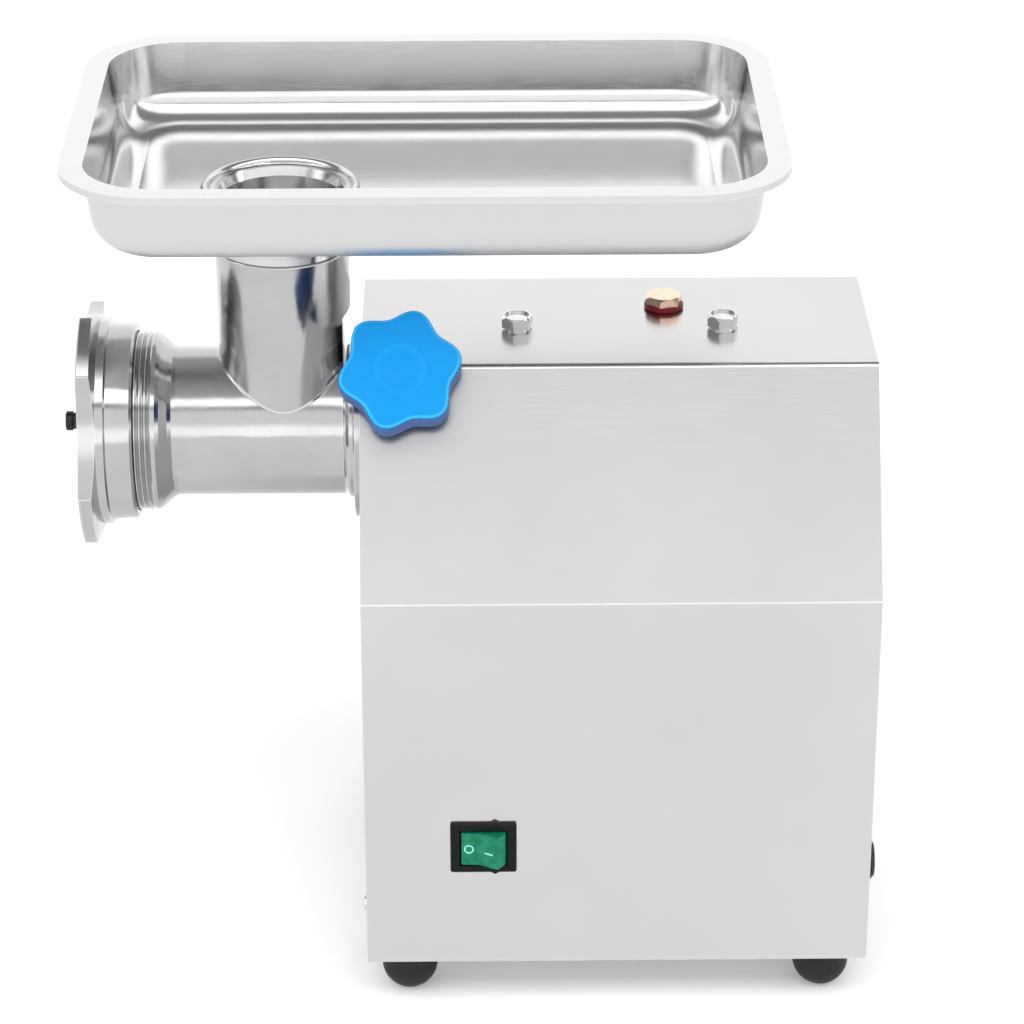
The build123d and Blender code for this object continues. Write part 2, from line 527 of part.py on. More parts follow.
BEZEL_W, BEZEL_H, BEZEL_T = 31.4, 26.4, 2.0
OPENING_W, OPENING_H = 22.7, 19.3
ROCKER_TILT = 17.0                        # from the middle to either end position
ROCKER_HALF, ROCKER_HEIGHT = 11.0, 17.0
ROCKER_CREST, ROCKER_VALLEY = 6.6, 4.7    # how far the ends and the middle stand before the pivot
PIVOT_Y = -BODY_HALF - BEZEL_T + 3.6


def make_switch():
    y0 = -BODY_HALF - BEZEL_T
    front = Plane((at(SWITCH_X), y0, SWITCH_Z), x_dir=(1, 0, 0), z_dir=(0, -1, 0))
    bezel = extrude(front * RectangleRounded(BEZEL_W, BEZEL_H, 1.2), BEZEL_T, dir=(0, 1, 0))
    bezel = chamfer(bezel.faces().sort_by(Axis.Y)[0].edges(), 0.6)
    x0, x1 = SWITCH_X - 13.7, SWITCH_X + 13.7
    bezel += block(x0, x1, -BODY_HALF, -BODY_HALF + 20, SWITCH_Z - 11.2, SWITCH_Z + 11.2)
    w, h = OPENING_W / 2, OPENING_H / 2
    bezel -= block(SWITCH_X - w, SWITCH_X + w, y0 - 1, -BODY_HALF + 16, SWITCH_Z - h, SWITCH_Z + h)
    for side in (-1, 1):
        edge = BEZEL_H / 2
        outline = ((2.8, edge - 0.6), (5.5, edge + 1.0), (8.2, edge - 0.6))
        corners = [(at(SWITCH_X + x), y0 + 0.3, SWITCH_Z + side * z) for x, z in outline]
        bezel += extrude(make_face(Polyline(*corners, close=True)), BEZEL_T - 0.3, dir=(0, 1, 0))
        pin = Pos(at(SWITCH_X), PIVOT_Y, SWITCH_Z + side * (h - 1.0)) * Cylinder(1.3, 2.4)
        bezel += pin
    node("switch_body", bezel)
    tabs = []
    for i in (-1, 0, 1):
        x = SWITCH_X + 8.0 * i
        tabs.append(block(x - 0.4, x + 0.4, -BODY_HALF + 20, -BODY_HALF + 29,
                          SWITCH_Z - 3.15, SWITCH_Z + 3.15))
    node("switch_terminals", *tabs)

    side = [(ROCKER_HALF, 2.0), (ROCKER_HALF, -1.0), (9.2, -ROCKER_CREST + 0.5), (8.7, -ROCKER_CREST)]
    left = [(-x, y) for x, y in reversed(side)]
    outline = Polyline(*side, (0, -ROCKER_VALLEY), *left, (-4, 6.0), (4, 6.0), close=True)
    rocker = extrude(Plane.XY * make_face(outline), ROCKER_HEIGHT / 2, both=True)
    for z in (-1, 1):
        rocker -= Pos(0, 0, z * (ROCKER_HEIGHT / 2)) * Cylinder(1.3 + RUN, 3.0)
    rocker = Rot(0, 0, -ROCKER_TILT) * rocker
    node("switch_rocker", Pos(at(SWITCH_X), PIVOT_Y, SWITCH_Z) * rocker)


# ---- lock knob -------------------------------------------------------------------------------------
def star(mean, swing, lobes, turn):
    """A smooth star outline whose radius swings evenly between lobes and hollows."""
    steps = 8 * lobes
    points = []
    for i in range(steps):
        a = 2 * pi * i / steps
        r = mean + swing * cos(lobes * a)
        points.append((r * cos(a + turn), r * sin(a + turn)))
    return make_face(Spline(*points, periodic=True))


def make_knob():
    back = KNOB_FRONT - KNOB_T
    outline = star(KNOB_R, KNOB_SWING, KNOB_LOBES, radians(KNOB_TURN))
    knob = extrude(outline, KNOB_T)
    knob = fillet(knob.edges().group_by(Axis.Z)[-1], 2.2)
    knob = fillet(knob.edges().group_by(Axis.Z)[0], 1.2)
    dish = (DISH_R ** 2 + DISH_DEPTH ** 2) / (2 * DISH_DEPTH)
    knob -= Pos(0, 0, KNOB_T + dish - DISH_DEPTH) * Sphere(dish)
    knob += Pos(0, 0, -5) * Cylinder(9.5, 6, align=(MID, MID, LOW))
    knob -= Pos(0, 0, -6) * Cylinder(5.0, 6 + KNOB_T - 6, align=(MID, MID, LOW))
    node("lock_knob", lock_plane(back) * knob)
    tip = HUB_BORE - RUN + PAD_GAP + 4.0
    screw = lock_rod(tip, KNOB_FRONT - 6.0, 5.0)
    for i in range(10):
        s = 62.0 + 1.75 * i
        screw -= lock_rod(s, s + 0.7, 6.0) - lock_rod(s - 1, s + 2, 4.5)
    node("lock_screw", screw)
    node("lock_screw_pad", lock_rod(tip - 4.0, tip, 4.6))


# ---- head ------------------------------------------------------------------------------------------
def make_head():
    thread_end, flare_end, back = -99.0, -88.0, -8.75
    face = RING_FRONT + RING_LIP_T + 2.5
    outline = [(face, 0), (face, THREAD_R - 2), (face + 1.5, THREAD_R - 1.2)]
    x = face + 1.5
    while x + THREAD_PITCH < thread_end:
        outline += [(x, THREAD_R - 1.3), (x + 0.45 * THREAD_PITCH, THREAD_R)]
        outline += [(x + 0.6 * THREAD_PITCH, THREAD_R)]
        x += THREAD_PITCH
    outline += [(x, THREAD_R - 1.3), (thread_end, THREAD_R - 0.4)]
    steps = 6
    for i in range(1, steps + 1):
        t = i / steps
        ease = t * t * (3 - 2 * t)
        x = thread_end + t * (flare_end - thread_end)
        outline.append((x, THREAD_R - 0.4 - ease * (THREAD_R - 0.4 - BARREL_R)))
    outline += [(back, BARREL_R), (back, HUB_BORE - RUN), (SPIGOT_END - 1.5, HUB_BORE - RUN)]
    outline += [(SPIGOT_END, HUB_BORE - 1.5), (SPIGOT_END, 0)]
    body = turned(outline)
    neck = Pos(at(NECK_X), 0, AXIS_Z) * Cone(31.0, 31.6, NECK_TOP - AXIS_Z, align=(MID, MID, LOW))
    body = body + neck
    seam = [e for e in body.edges() if e.geom_type not in (GeomType.LINE, GeomType.CIRCLE)
            and e.center().Z > AXIS_Z + 5 and abs(e.center().X - at(NECK_X)) < 10]
    body = fillet(seam, 1.8)
    rim = [e for e in body.edges().filter_by(GeomType.CIRCLE) if abs(e.center().Z - NECK_TOP) < 0.1]
    body = fillet(rim, 1.6)
    body -= ring(back, 10, 60.0, HUB_BORE - RUN)
    # bore, plate seat, bush, clearance for the drive nose, throat
    body -= rod(-140, -20, BARREL_BORE)
    body -= rod(-140, RING_FRONT + RING_LIP_T + PLATE_THICK + 11.0, PLATE_R + 0.3)
    body -= rod(-30, 40, 12.0 + RUN)
    body -= rod(8, 40, 22.0)
    body -= post(NECK_X, 0, AXIS_Z, NECK_TOP + 5, 27.0)
    key_z = AXIS_Z + PLATE_R + 0.3
    body -= rod(-140, -112, 2.0, 0, key_z)
    node("head_casting", body)
    node("plate_key_pin", rod(face, -112, 2.0, 0, key_z))


def make_auger():
    seat = PLATE_FRONT + PLATE_THICK
    tail, nose = -22.0, seat + 11.5
    core = turned([(nose, 0), (nose, 13.0), (tail - 8, 10.5), (tail, 20.0),
                   (tail, 12.0), (8.0, 12.0), (8.0, 0)])
    pitch, turns_height = 27.0, tail - nose - 9.0
    path = Helix(pitch=pitch, height=turns_height, radius=20.0)
    start = path @ 0
    section = Plane(origin=start, x_dir=(1, 0, 0), z_dir=path % 0) * Rectangle(20.2, 4.6)
    flight = sweep(section, path=path, is_frenet=True)
    flight = Plane((at(nose + 4.5), 0, AXIS_Z), x_dir=(0, 0, 1), z_dir=(1, 0, 0)) * flight
    flight = flight & ring(nose, tail, BARREL_BORE - GAP, 6.0)
    auger = core + flight
    auger += block(8, 29, -6.7, 6.7, AXIS_Z - 6.7, AXIS_Z + 6.7)
    auger += block(seat + 0.4, nose, -5.2, 5.2, AXIS_Z - 5.2, AXIS_Z + 5.2)
    auger -= rod(nose - 13, nose + 8, 4.0)
    node("auger", auger)
    stud = turned([(-142.7, 0), (-142.7, 4.2), (-142.2, 4.7), (-139.6, 4.7), (-139.0, 4.0),
                   (PLATE_FRONT - 1.0, 4.0), (PLATE_FRONT - 0.5, 4.7), (seat, 4.7), (seat, 4.0),
                   (nose + 8, 4.0), (nose + 8, 0)])
    node("auger_stud", stud)
    node("thrust_washer", ring(tail + 0.1, -20.1, 19.0, 12.0))

    x0, x1 = seat + GAP, seat + 9.5
    knife = rod(x0, x1, 11.0)
    for i in range(4):
        arm = block(x0, x1, -4.0, 6.0, AXIS_Z + 6, AXIS_Z + 33.0)
        arm -= block(x0 + 2.5, x1 + 1, -5.0, 0.5, AXIS_Z + 12, AXIS_Z + 34)
        knife += arm.rotate(Axis((0, 0, AXIS_Z), (1, 0, 0)), 90.0 * i)
    knife = knife & rod(x0, x1, 33.0)
    knife -= block(x0 - 1, x1 + 1, -5.5, 5.5, AXIS_Z - 5.5, AXIS_Z + 5.5)
    node("knife", knife)


def make_plate():
    front = PLATE_FRONT
    plate = rod(front, front + PLATE_THICK, PLATE_R)
    plate -= rod(front - 1, front + PLATE_THICK + 1, 4.7 + RUN + 0.02)
    for count, radius in ((6, 10.0), (12, 18.0), (18, 26.0)):
        for y, z in ring_of(count, radius):
            plate -= rod(front - 1, front + PLATE_THICK + 1, 3.0, y, AXIS_Z + z)
    plate -= rod(front - 1, front + PLATE_THICK + 1, 2.4, 0, AXIS_Z + PLATE_R + 0.3)
    node("hole_plate", plate)


def polar(radius, angle):
    """A point from its radius and its angle in degrees."""
    return radius * cos(radians(angle)), radius * sin(radians(angle))


def lobed_outline():
    """The flange's outline: round-tipped lobes joined by smooth hollows."""
    pitch = 360 / LOBES
    curve = []
    for i in range(LOBES):
        tip = CenterArc((0, 0), LOBE_TIP, pitch * i - LOBE_HALF, 2 * LOBE_HALF)
        after = polar(LOBE_TIP, pitch * (i + 1) - LOBE_HALF)
        curve += [tip, ThreePointArc(tip @ 1, polar(LOBE_ROOT, pitch * (i + 0.5)), after)]
    shape = make_face(Curve() + curve)
    return fillet(shape.vertices(), 2.6)


def make_ring_nut():
    """The clamping ring: threaded body, step and a front flange with four wrench lobes."""
    plane = Plane((at(RING_FRONT), 0, AXIS_Z), x_dir=(0, 0, 1), z_dir=(1, 0, 0))
    flange = extrude(plane * (Rot(0, 0, LOBE_TURN) * lobed_outline()), 8.5, dir=(1, 0, 0))
    flange = flange & turned([(RING_FRONT, 0), (RING_FRONT, LOBE_TIP - 1.5),
                              (RING_FRONT + 1.5, LOBE_TIP + 1), (RING_FRONT + 6.2, LOBE_TIP + 1),
                              (RING_FRONT + 8.5, LOBE_ROOT - 2.0), (RING_FRONT + 8.5, 0)])
    nut = turned([(RING_FRONT + 6, 0), (RING_FRONT + 6, RING_BODY_R), (-120.6, RING_BODY_R),
                  (-119.8, 47.3), (RING_BACK - 1.2, 46.6), (RING_BACK, 45.6), (RING_BACK, 0)])
    nut = nut + flange
    nut -= rod(RING_FRONT + RING_LIP_T, RING_BACK + 1, THREAD_R + GAP)
    nut -= turned([(RING_FRONT - 1, 0), (RING_FRONT - 1, 34.0), (RING_FRONT + 2.5, 31.5),
                   (RING_FRONT + RING_LIP_T + 1, 31.5), (RING_FRONT + RING_LIP_T + 1, 0)])
    node("ring_nut", nut)


# ---- tray ------------------------------------------------------------------------------------------
def pan_block(shrink, top, bottom, corner, bend):
    """A tapered, round-cornered block, standing for the pan's outside or its inside."""
    inset = 2 * (TRAY_RIM + shrink)
    mouth = RectangleRounded(TRAY_L - inset, TRAY_W - inset, corner)
    solid = extrude(Pos(0, 0, top) * mouth, bottom - top, taper=8)
    return fillet(solid.edges().group_by(Axis.Z)[0], bend)


def make_tray():
    bottom = TRAY_TOP - TRAY_DEPTH
    corner = TRAY_CORNER - TRAY_RIM
    pan = pan_block(0, TRAY_TOP, bottom, corner, 16.0)
    edge = RectangleRounded(TRAY_L, TRAY_W, TRAY_CORNER)
    edge_inside = RectangleRounded(TRAY_L - 2.4, TRAY_W - 2.4, TRAY_CORNER - 1.2)
    rim = extrude(Pos(0, 0, TRAY_TOP - TRAY_SHEET) * edge, TRAY_SHEET)
    skirt = extrude(Pos(0, 0, TRAY_TOP - 3.4) * edge, 3.4)
    skirt -= extrude(Pos(0, 0, TRAY_TOP - 4) * edge_inside, 5)
    pan = pan + rim + skirt
    pan -= pan_block(TRAY_SHEET, TRAY_TOP + 0.001, bottom + TRAY_SHEET, corner - TRAY_SHEET, 15.0)
    hole_x = at(NECK_X) - at(TRAY_X)
    pan -= Pos(hole_x, 0, bottom) * Cylinder(30.5, 10)
    bead = Pos(hole_x, 0, bottom + TRAY_SHEET) * Torus(35.0, 2.2)
    bead = bead & (Pos(hole_x, 0, bottom + 0.5) * Cylinder(60, 12, align=(MID, MID, LOW)))
    pan += bead
    node("tray_pan", Pos(at(TRAY_X), 0, 0) * pan)

    low, rest = NECK_TOP - 16.0, NECK_TOP + 0.1
    outline = Polyline((24.6, 0, low), (26.5, 0, low), (26.5, 0, rest), (31.6, 0, rest), (31.6, 0, rest + 3),
                       (33.5, 0, bottom - 8), (37.0, 0, bottom - 2.5), (39.0, 0, bottom), (29.5, 0, bottom),
                       (28.0, 0, bottom - 4), (24.6, 0, rest), close=True)
    node("tray_spout", Pos(at(NECK_X), 0, 0) * revolve(make_face(outline), Axis.Z, 360))


make_body()
make_fasteners()
make_feet()
make_gearbox()
make_rotating()
make_motor()
make_electrics()
make_switch()
make_knob()
make_head()
make_auger()
make_plate()
make_ring_nut()
make_tray()

os.makedirs("parts", exist_ok=True)
for name, shape in NODES.items():
    export_step(shape, f"parts/{name}.step")
print(len(NODES), "nodes")
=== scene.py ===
"""Electric meat grinder: finishes, small surface pieces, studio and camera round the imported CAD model.

Everything is in metres, in the CAD model's own frame: x along the machine from the head to the
motor end, y from the front to the back, z up from the counter.
"""

import math

import bpy
from mathutils import Matrix, Vector


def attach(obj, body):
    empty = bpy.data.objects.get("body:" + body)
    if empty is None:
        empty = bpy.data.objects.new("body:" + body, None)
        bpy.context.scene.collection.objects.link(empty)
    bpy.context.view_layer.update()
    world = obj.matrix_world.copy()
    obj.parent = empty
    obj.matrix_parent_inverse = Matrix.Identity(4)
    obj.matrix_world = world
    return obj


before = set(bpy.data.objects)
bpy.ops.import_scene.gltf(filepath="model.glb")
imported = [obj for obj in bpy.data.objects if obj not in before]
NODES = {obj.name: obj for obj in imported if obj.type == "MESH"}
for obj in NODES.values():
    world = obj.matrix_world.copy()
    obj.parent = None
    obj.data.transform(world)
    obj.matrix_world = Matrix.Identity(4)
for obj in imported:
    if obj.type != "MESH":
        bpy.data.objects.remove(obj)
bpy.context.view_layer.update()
MM = 0.001

# The photograph's viewing angle, in this frame.
CAMERA_PLACE = (0.0017, -1.6092, 0.9893)
CAMERA_PITCH = math.radians(25.785)
CAMERA_YAW = math.radians(0.651)
CAMERA_ROLL = math.radians(-0.085)
CAMERA_LENS = 129.25
CAMERA_SENSOR = 36.0

# The floor's half width, and how far under the feet it lies.
FLOOR_REACH = 12.0
FLOOR_Z = -0.0002
FLOOR_GLOW = 0.17

# Places taken from the CAD source, in millimetres there and in metres here.
KNOB_RISE = math.radians(37.0)
KNOB_AXIS = (0.0, -math.cos(KNOB_RISE), math.sin(KNOB_RISE))
ABOVE_TRAY = (-0.0191, 0.0, 0.6)
ROCKER_PIVOT = (0.005, -0.1084, 0.0891)
ROCKER_TILT = math.radians(17.0)
CREST_ALONG, CREST_OUT, VALLEY_OUT = 8.7 * MM, 6.6 * MM, 4.7 * MM

# The printed marks: where they stand along the rocker, how far up, their sizes and their thickness.
MARK_THICK = 0.12 * MM
RING_ALONG, RING_OUTER, RING_INNER = -5.4 * MM, 2.28 * MM, 1.66 * MM
BAR_ALONG, BAR_UP, BAR_HALF_LENGTH, BAR_HALF_WIDTH = 4.3 * MM, -1.25 * MM, 2.2 * MM, 0.4 * MM

# The soft panel over the machine.
PANEL_PLACE, PANEL_TARGET = (0.0, 0.0, 4.0), (0.0, 0.0, 0.0)
PANEL_SIZE, PANEL_WATTS = 4.0, 38.0


# ---------------------------------------------------------------- shader helpers


def new_material(name, colour, metallic, roughness):
    """A material with one Principled shader; returns (material, node tree, shader)."""
    made = bpy.data.materials.new(name)
    made.use_nodes = True
    tree = made.node_tree
    shader = tree.nodes["Principled BSDF"]
    shader.inputs["Base Color"].default_value = (*colour, 1.0)
    shader.inputs["Metallic"].default_value = metallic
    shader.inputs["Roughness"].default_value = roughness
    return made, tree, shader


def noise(tree, scale, stretch=(1.0, 1.0, 1.0), detail=3.0, rough=0.5):
    """Noise in the object's own coordinates; scale is cells per metre, stretch per axis."""
    place = tree.nodes.new("ShaderNodeTexCoord")
    mapping = tree.nodes.new("ShaderNodeMapping")
    mapping.inputs["Scale"].default_value = stretch
    texture = tree.nodes.new("ShaderNodeTexNoise")
    texture.inputs["Scale"].default_value = scale
    texture.inputs["Detail"].default_value = detail
    texture.inputs["Roughness"].default_value = rough
    tree.links.new(place.outputs["Object"], mapping.inputs["Vector"])
    tree.links.new(mapping.outputs["Vector"], texture.inputs["Vector"])
    return texture.outputs["Fac"]


def spread(tree, value, low, high, out_low=0.0, out_high=1.0):
    """value from low..high to out_low..out_high, clamped."""
    node = tree.nodes.new("ShaderNodeMapRange")
    node.inputs["From Min"].default_value = low
    node.inputs["From Max"].default_value = high
    node.inputs["To Min"].default_value = out_low
    node.inputs["To Max"].default_value = out_high
    tree.links.new(value, node.inputs["Value"])
    return node.outputs["Result"]


def mix_colours(tree, factor, first, second):
    """first at factor 0 to second at factor 1, each an RGB triple or an output."""
    node = tree.nodes.new("ShaderNodeMix")
    node.data_type = "RGBA"
    tree.links.new(factor, node.inputs["Factor"])
    sockets = [s for s in node.inputs if s.type == "RGBA"]
    for socket, colour in zip(sockets, (first, second)):
        if isinstance(colour, tuple):
            socket.default_value = (*colour, 1.0)
        else:
            tree.links.new(colour, socket)
    return [s for s in node.outputs if s.type == "RGBA"][0]


def add_bump(tree, shader, height, distance, strength, below=None):
    """A bump from height, of distance metres, on the shader; returns its normal output."""
    node = tree.nodes.new("ShaderNodeBump")
    node.inputs["Distance"].default_value = distance
    node.inputs["Strength"].default_value = strength
    tree.links.new(height, node.inputs["Height"])
    if below is not None:
        tree.links.new(below, node.inputs["Normal"])
    tree.links.new(node.outputs["Normal"], shader.inputs["Normal"])
    return node.outputs["Normal"]


def edge_wear_and_highlight(tree, width):
    """1 along edges and 0 on flats: how far a rounded normal leaves the surface's own. The lighter edges
    it marks are edge wear and a painted highlight.
    """
    rounded = tree.nodes.new("ShaderNodeBevel")
    rounded.samples = 4
    rounded.inputs["Radius"].default_value = width
    surface = tree.nodes.new("ShaderNodeNewGeometry")
    agree = tree.nodes.new("ShaderNodeVectorMath")
    agree.operation = "DOT_PRODUCT"
    tree.links.new(rounded.outputs["Normal"], agree.inputs[0])
    tree.links.new(surface.outputs["Normal"], agree.inputs[1])
    return spread(tree, agree.outputs["Value"], 0.99, 0.9)


def worn_and_highlit(tree, edge_mask, colour, lift):
    """colour, made lighter by lift where the edge mask is 1: edge wear and a painted highlight."""
    bright = tree.nodes.new("ShaderNodeHueSaturation")
    bright.inputs["Value"].default_value = lift
    tree.links.new(colour, bright.inputs["Color"])
    return mix_colours(tree, edge_mask, colour, bright.outputs["Color"])


def facing(tree, axis):
    """How squarely the surface faces along axis, in the object's own space: 1, 0 or -1."""
    place = tree.nodes.new("ShaderNodeTexCoord")
    square = tree.nodes.new("ShaderNodeVectorMath")
    square.operation = "DOT_PRODUCT"
    square.inputs[1].default_value = axis
    tree.links.new(place.outputs["Normal"], square.inputs[0])
    return square.outputs["Value"]


def facing_point(tree, target):
    """Positive where the surface faces a point, in the object's own space, and else negative."""
    place = tree.nodes.new("ShaderNodeTexCoord")
    towards = tree.nodes.new("ShaderNodeVectorMath")
    towards.operation = "SUBTRACT"
    towards.inputs[0].default_value = target
    tree.links.new(place.outputs["Object"], towards.inputs[1])
    square = tree.nodes.new("ShaderNodeVectorMath")
    square.operation = "DOT_PRODUCT"
    tree.links.new(towards.outputs["Vector"], square.inputs[0])
    tree.links.new(place.outputs["Normal"], square.inputs[1])
    return square.outputs["Value"]


def mix_values(tree, factor, first, second):
    """first at factor 0 to second at factor 1, both outputs."""
    node = tree.nodes.new("ShaderNodeMix")
    tree.links.new(factor, node.inputs["Factor"])
    sockets = [s for s in node.inputs if s.type == "VALUE" and s.name in ("A", "B")]
    tree.links.new(first, sockets[0])
    tree.links.new(second, sockets[1])
    return node.outputs["Result"]


def product(tree, first, second):
    """first times second, both outputs."""
    node = tree.nodes.new("ShaderNodeMath")
    node.operation = "MULTIPLY"
    tree.links.new(first, node.inputs[0])
    tree.links.new(second, node.inputs[1])
    return node.outputs[0]


# ---------------------------------------------------------------- metals


def brushed_steel(name, tone, rough_low, rough_high, grain_axis, grain=0.25):
    """Sheet steel with a fine directional grain, faint wipe marks and an even satin gloss."""
    made, tree, shader = new_material(name, tone, 1.0, rough_high)
    stretch = [60.0, 60.0, 60.0]
    stretch["xyz".index(grain_axis)] = 1.6
    lines = noise(tree, 28.0, tuple(stretch), 4.0, 0.6)
    clouds = noise(tree, 9.0, (1.0, 1.0, 1.0), 3.0, 0.55)
    tree.links.new(spread(tree, lines, 0.3, 0.7, rough_low, rough_high), shader.inputs["Roughness"])
    dark = tuple(c * 0.955 for c in tone)
    colour = mix_colours(tree, spread(tree, clouds, 0.35, 0.65), dark, tone)
    # Lighter edges: edge wear and a painted highlight.
    tree.links.new(worn_and_highlit(tree, edge_wear_and_highlight(tree, 0.0007), colour, 1.25), shader.inputs["Base Color"])
    add_bump(tree, shader, lines, 0.00002, grain)
    return made


def cast_steel(name, tone, rough_low, rough_high, ripple=0.5, grit=0.2):
    """Cast steel ground and polished by hand: soft ripples, fine grit, a few dull patches."""
    made, tree, shader = new_material(name, tone, 1.0, rough_high)
    ripples = noise(tree, 60.0, (1.0, 1.0, 1.0), 2.0, 0.5)
    grits = noise(tree, 1400.0, (1.0, 1.0, 1.0), 2.0, 0.6)
    patches = noise(tree, 35.0, (1.0, 1.0, 1.0), 4.0, 0.6)
    tree.links.new(spread(tree, patches, 0.35, 0.68, rough_low, rough_high), shader.inputs["Roughness"])
    dark = tuple(c * 0.9 for c in tone)
    colour = mix_colours(tree, spread(tree, patches, 0.3, 0.7), tone, dark)
    # Lighter edges: edge wear and a painted highlight.
    tree.links.new(worn_and_highlit(tree, edge_wear_and_highlight(tree, 0.0009), colour, 1.25), shader.inputs["Base Color"])
    first = add_bump(tree, shader, ripples, 0.0004, ripple)
    add_bump(tree, shader, grits, 0.00003, grit, first)
    return made


def turned_steel(name, tone, rough_low, rough_high):
    """Machined bright steel: fine turning marks and a thin film of oil that varies the gloss."""
    made, tree, shader = new_material(name, tone, 1.0, rough_high)
    marks = noise(tree, 900.0, (1.0, 0.2, 0.2), 3.0, 0.6)
    film = noise(tree, 70.0, (1.0, 1.0, 1.0), 3.0, 0.5)
    tree.links.new(spread(tree, film, 0.35, 0.65, rough_low, rough_high), shader.inputs["Roughness"])
    dark = tuple(c * 0.88 for c in tone)
    colour = mix_colours(tree, spread(tree, film, 0.3, 0.7), tone, dark)
    # Lighter edges: edge wear and a painted highlight.
    tree.links.new(worn_and_highlit(tree, edge_wear_and_highlight(tree, 0.0004), colour, 1.3), shader.inputs["Base Color"])
    add_bump(tree, shader, marks, 0.00003, 0.3)
    return made


SATIN_LOW, SATIN_HIGH = 0.38, 0.45


def polished_steel(name, tone, outside, rough_low, rough_high):
    """Pressed sheet, polished above and inside, duller and satin outside: hairlines, press ripples."""
    made, tree, shader = new_material(name, tone, 1.0, rough_high)
    hair = noise(tree, 55.0, (1.2, 18.0, 18.0), 5.0, 0.62)
    press = noise(tree, 22.0, (1.0, 1.0, 1.0), 1.0, 0.4)
    polished = spread(tree, hair, 0.35, 0.7, rough_low, rough_high)
    satin = spread(tree, hair, 0.35, 0.7, SATIN_LOW, SATIN_HIGH)
    inner = spread(tree, facing_point(tree, ABOVE_TRAY), -0.002, 0.002)
    tree.links.new(mix_values(tree, inner, satin, polished), shader.inputs["Roughness"])
    dark = tuple(c * 0.95 for c in tone)
    lined = mix_colours(tree, spread(tree, hair, 0.35, 0.7), tone, dark)
    colour = mix_colours(tree, inner, outside, lined)
    # Lighter edges: edge wear and a painted highlight.
    tree.links.new(worn_and_highlit(tree, edge_wear_and_highlight(tree, 0.0006), colour, 1.2), shader.inputs["Base Color"])
    first = add_bump(tree, shader, press, 0.0006, 0.35)
    add_bump(tree, shader, hair, 0.00001, 0.15, first)
    return made


# ---------------------------------------------------------------- plastics, rubber and the rest


def moulded(name, colour, rough_low, rough_high, grit=0.1, shade=0.88, coat=0.0, specular=0.2):
    """Moulded plastic, rubber or paint: fine orange peel and slightly uneven gloss."""
    made, tree, shader = new_material(name, colour, 0.0, rough_high)
    shader.inputs["Specular IOR Level"].default_value = specular
    shader.inputs["Coat Weight"].default_value = coat
    shader.inputs["Coat Roughness"].default_value = 0.08
    peel = noise(tree, 1100.0, (1.0, 1.0, 1.0), 2.0, 0.5)
    gloss = noise(tree, 45.0, (1.0, 1.0, 1.0), 3.0, 0.55)
    tree.links.new(spread(tree, gloss, 0.35, 0.65, rough_low, rough_high), shader.inputs["Roughness"])
    dark = tuple(c * shade for c in colour)
    tone = mix_colours(tree, spread(tree, gloss, 0.3, 0.7), colour, dark)
    # Lighter edges: edge wear and a painted highlight.
    tree.links.new(worn_and_highlit(tree, edge_wear_and_highlight(tree, 0.0005), tone, 1.35), shader.inputs["Base Color"])
    add_bump(tree, shader, peel, 0.00004, grit)
    return made


def knob_with_painted_light(name, front, side, painted_highlight):
    """The knob's moulding: its front, its sides in a deeper blue that is painted shade, and a light line
    between them that is a painted highlight.
    """
    made, tree, shader = new_material(name, front, 0.0, 0.32)
    shader.inputs["Specular IOR Level"].default_value = 0.1
    peel = noise(tree, 1100.0, (1.0, 1.0, 1.0), 2.0, 0.5)
    gloss = noise(tree, 60.0, (1.0, 1.0, 1.0), 3.0, 0.55)
    square = facing(tree, KNOB_AXIS)
    # Surfaces turned away from the knob's axis take the deeper blue: painted shade on the sides.
    body = mix_colours(tree, spread(tree, square, 0.05, 0.6), side, front)
    dull = tuple(c * 0.93 for c in front)
    cloudy = mix_colours(tree, spread(tree, gloss, 0.5, 0.9, 0.0, 0.5), body, dull)
    # A thin light band where the front turns into the sides: a painted highlight.
    highlight_band = product(tree, spread(tree, square, 0.45, 0.7), spread(tree, square, 0.985, 0.9))
    tree.links.new(mix_colours(tree, highlight_band, cloudy, painted_highlight), shader.inputs["Base Color"])
    tree.links.new(spread(tree, gloss, 0.35, 0.65, 0.34, 0.44), shader.inputs["Roughness"])
    add_bump(tree, shader, peel, 0.00004, 0.08)
    return made


def translucent_green(name):
    """The switch's tinted rocker: saturated green, glossy and faintly see-through."""
    made, tree, shader = new_material(name, (0.005, 0.17, 0.09), 0.0, 0.16)
    shader.inputs["Transmission Weight"].default_value = 0.1
    shader.inputs["IOR"].default_value = 1.49
    shader.inputs["Specular IOR Level"].default_value = 0.12
    shader.inputs["Coat Weight"].default_value = 0.05
    depth = noise(tree, 260.0, (1.0, 1.0, 1.0), 2.0, 0.5)
    tone = mix_colours(tree, spread(tree, depth, 0.35, 0.65), (0.003, 0.14, 0.07), (0.008, 0.21, 0.115))
    tree.links.new(tone, shader.inputs["Base Color"])
    tree.links.new(spread(tree, depth, 0.3, 0.7, 0.12, 0.2), shader.inputs["Roughness"])
    add_bump(tree, shader, depth, 0.00005, 0.15)
    return made


def copper(name, tone, rough_low, rough_high):
    """Plated copper: warm, bright, with faint tarnish in patches."""
    made, tree, shader = new_material(name, tone, 1.0, rough_high)
    tarnish = noise(tree, 320.0, (1.0, 1.0, 1.0), 4.0, 0.6)
    dull = (tone[0] * 0.85, tone[1] * 0.78, tone[2] * 0.7)
    colour = mix_colours(tree, spread(tree, tarnish, 0.5, 0.8), tone, dull)
    # Lighter edges: edge wear and a painted highlight.
    tree.links.new(worn_and_highlit(tree, edge_wear_and_highlight(tree, 0.0004), colour, 1.15), shader.inputs["Base Color"])
    tree.links.new(spread(tree, tarnish, 0.3, 0.7, rough_low, rough_high), shader.inputs["Roughness"])
    add_bump(tree, shader, tarnish, 0.00004, 0.15)
    return made


